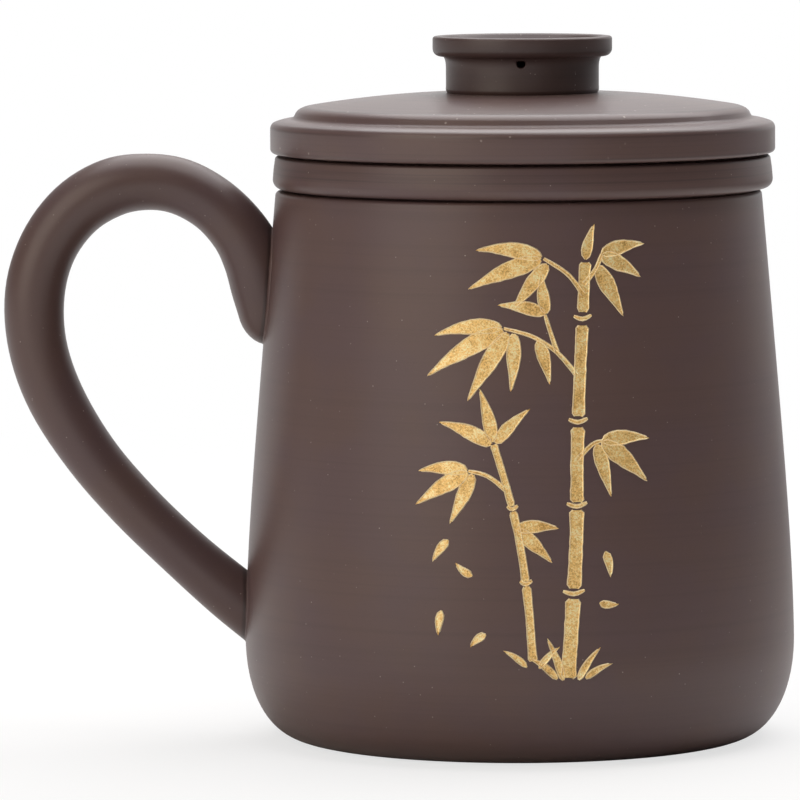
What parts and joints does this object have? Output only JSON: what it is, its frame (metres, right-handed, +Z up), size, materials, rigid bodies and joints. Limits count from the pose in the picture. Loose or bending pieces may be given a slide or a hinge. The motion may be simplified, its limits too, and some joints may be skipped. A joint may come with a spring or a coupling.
{
  "type": "lidded infuser mug",
  "caption": "Unglazed clay mug with an ear-shaped handle, a lift-out perforated infuser and a lift-off lid with a dished knob.",
  "frame": {"origin": "on the mug's axis, on the surface that the mug stands on", "axes": "+Z up, the handle along -X, the decorated side and the lid's steam vent towards -Y"},
  "size_m": [0.1344, 0.0936, 0.1195],
  "materials": {
    "body_clay": "matte",
    "handle_clay": "matte",
    "infuser_clay": "matte",
    "lid_clay": "matte",
    "gold_fill": "satin"
  },
  "bodies": {
    "mug": {"mug_wall": "body_clay", "mug_base": "body_clay", "handle": "handle_clay"},
    "infuser": {"infuser_rim": "infuser_clay", "infuser_wall": "infuser_clay", "infuser_floor": "infuser_clay"},
    "lid": {"lid_plate": "lid_clay", "lid_dome": "lid_clay", "lid_skirt": "lid_clay", "knob_neck": "lid_clay", "knob_cap": "lid_clay"}
  },
  "joints": [
    {"name": "infuser_lift", "type": "slide", "parent": "mug", "child": "infuser", "axis": [0, 0, 1], "range_m": [0, 0.08]},
    {"name": "lid_lift", "type": "slide", "parent": "infuser", "child": "lid", "axis": [0, 0, 1], "range_m": [0, 0.05]}
  ]
}
